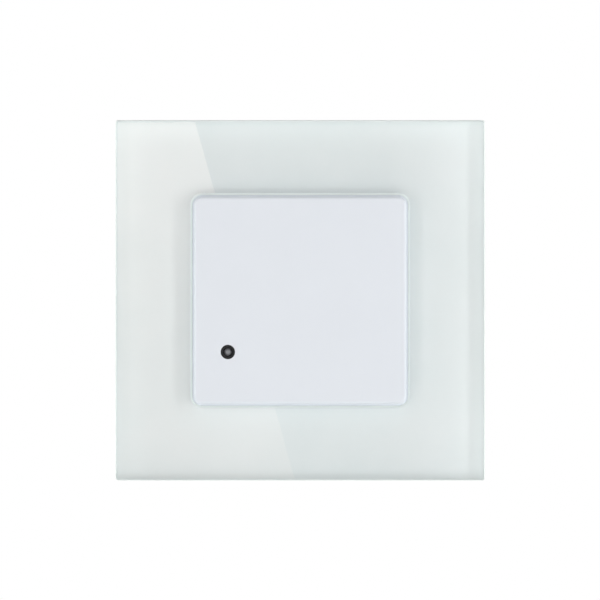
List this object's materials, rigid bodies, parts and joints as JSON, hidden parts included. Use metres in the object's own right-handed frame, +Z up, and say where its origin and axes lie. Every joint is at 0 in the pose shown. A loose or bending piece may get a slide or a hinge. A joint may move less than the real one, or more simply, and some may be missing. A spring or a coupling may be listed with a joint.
{
  "type": "microwave motion sensor",
  "caption": "Square flush-mounted motion sensor: a glass frame round a plain white cover with a small light sensor, radar and relay boards in a housing behind a steel plate.",
  "frame": {"origin": "middle of the pattern of wall box screws, in the plane of the wall, which is the back face of the steel plate", "axes": "+X to the right and +Z up as seen by someone who faces the wall, +Y into the wall"},
  "size_m": [0.082, 0.0366, 0.08],
  "materials": {
    "clear_glass": "toughened glass with polished edges",
    "white_print": "white print seen through the glass",
    "foam_tape": "white foam tape",
    "white_cover": "moulded, satin",
    "white_moulding": "moulded, fine texture",
    "grey_housing": "moulded, spark-eroded texture",
    "zinc_steel": "zinc plated",
    "screw_steel": "zinc plated",
    "circuit_board": "green solder resist",
    "gold_copper": "gold-plated copper",
    "tinned_metal": "tinned",
    "black_plastic": "moulded",
    "clear_resin": "clear epoxy",
    "blue_plastic": "moulded",
    "white_rotor": "moulded",
    "terminal_plastic": "glass-filled nylon",
    "brass": "stamped and plated",
    "relay_blue": "moulded",
    "soft_iron": "nickel flash",
    "copper_wire": "enamelled copper",
    "film_yellow": "moulded box",
    "can_sleeve": "shrunk sleeve on aluminium",
    "disc_blue": "dipped epoxy",
    "fuse_brown": "moulded",
    "ferrite": "pressed and sintered",
    "coil_tape": "polyester tape"
  },
  "bodies": {
    "root": {"mounting_plate": "zinc_steel", "chassis": "white_moulding", "plate_screws": "screw_steel", "rear_housing": "grey_housing", "housing_screws": "screw_steel", "board_screws": "screw_steel", "front_board": "circuit_board", "patch_antennas": "gold_copper", "radar_shield": "tinned_metal", "control_chip": "black_plastic", "front_board_parts": "black_plastic", "sensor_leads": "tinned_metal", "light_sensor": "clear_resin", "light_shroud": "black_plastic", "trimmer_bodies": "blue_plastic", "header_strip": "black_plastic", "header_pins": "gold_copper", "header_socket": "black_plastic", "power_board": "circuit_board", "power_board_parts": "black_plastic", "terminal_bars": "tinned_metal", "terminal_block": "terminal_plastic", "relay_case": "relay_blue", "relay_base": "black_plastic", "relay_pins": "tinned_metal", "relay_yoke": "soft_iron", "relay_bobbin": "white_moulding", "relay_winding": "copper_wire", "relay_contact": "gold_copper", "film_capacitor": "film_yellow", "can_capacitors": "can_sleeve", "varistor": "disc_blue", "fuse": "fuse_brown", "choke_core": "ferrite", "choke_winding": "copper_wire", "transformer_core": "ferrite", "transformer_coil": "coil_tape"},
    "glass_frame": {"glass_panel": "clear_glass", "back_print": "white_print", "glass_tape": "foam_tape", "glass_carrier": "white_moulding"},
    "cover": {"front_cover": "white_cover"},
    "sensitivity_dial": {"sensitivity_rotor": "white_rotor"},
    "time_dial": {"time_rotor": "white_rotor"},
    "daylight_dial": {"daylight_rotor": "white_rotor"},
    "armature": {"relay_armature": "soft_iron", "relay_spring": "gold_copper"},
    "screw_1": {"clamp_screw_1": "screw_steel"},
    "cage_1": {"clamp_cage_1": "brass"},
    "screw_2": {"clamp_screw_2": "screw_steel"},
    "cage_2": {"clamp_cage_2": "brass"},
    "screw_3": {"clamp_screw_3": "screw_steel"},
    "cage_3": {"clamp_cage_3": "brass"}
  },
  "joints": [
    {"name": "frame_pull", "type": "slide", "parent": "root", "child": "glass_frame", "axis": [0, -1, 0], "range_m": [0, 0.014]},
    {"name": "cover_pull", "type": "slide", "parent": "root", "child": "cover", "axis": [0, -1, 0], "range_m": [0, 0.014]},
    {"name": "sensitivity_turn", "type": "hinge", "parent": "root", "child": "sensitivity_dial", "pos_m": [-0.006, -0.0065, -0.0125], "axis": [0, 1, 0], "range_deg": [-130, 130]},
    {"name": "time_turn", "type": "hinge", "parent": "root", "child": "time_dial", "pos_m": [0.003, -0.0065, -0.0125], "axis": [0, 1, 0], "range_deg": [-130, 130]},
    {"name": "daylight_turn", "type": "hinge", "parent": "root", "child": "daylight_dial", "pos_m": [0.012, -0.0065, -0.0125], "axis": [0, 1, 0], "range_deg": [-130, 130]},
    {"name": "screw_1_turn", "type": "hinge", "parent": "root", "child": "screw_1", "pos_m": [-0.0075, 0.0185, -0.01545], "axis": [0, -1, 0], "range_deg": [0, 1728]},
    {"name": "cage_1_rise", "type": "slide", "parent": "root", "child": "cage_1", "axis": [0, 1, 0], "range_m": [0, 0.0024]},
    {"name": "screw_2_turn", "type": "hinge", "parent": "root", "child": "screw_2", "pos_m": [0, 0.0185, -0.01545], "axis": [0, -1, 0], "range_deg": [0, 1728]},
    {"name": "cage_2_rise", "type": "slide", "parent": "root", "child": "cage_2", "axis": [0, 1, 0], "range_m": [0, 0.0024]},
    {"name": "screw_3_turn", "type": "hinge", "parent": "root", "child": "screw_3", "pos_m": [0.0075, 0.0185, -0.01545], "axis": [0, -1, 0], "range_deg": [0, 1728]},
    {"name": "cage_3_rise", "type": "slide", "parent": "root", "child": "cage_3", "axis": [0, 1, 0], "range_m": [0, 0.0024]},
    {"name": "armature_rock", "type": "hinge", "parent": "root", "child": "armature", "pos_m": [0.004, 0.01955, -0.0034], "axis": [0, 0, 1], "range_deg": [0, 4], "stiffness_Nm_per_rad": 0.01, "springref_deg": -2.86}
  ],
  "couplings": [
    {"joint": "screw_1_turn", "follows": "cage_1_rise", "rad_per_m": 12566},
    {"joint": "screw_2_turn", "follows": "cage_2_rise", "rad_per_m": 12566},
    {"joint": "screw_3_turn", "follows": "cage_3_rise", "rad_per_m": 12566}
  ]
}
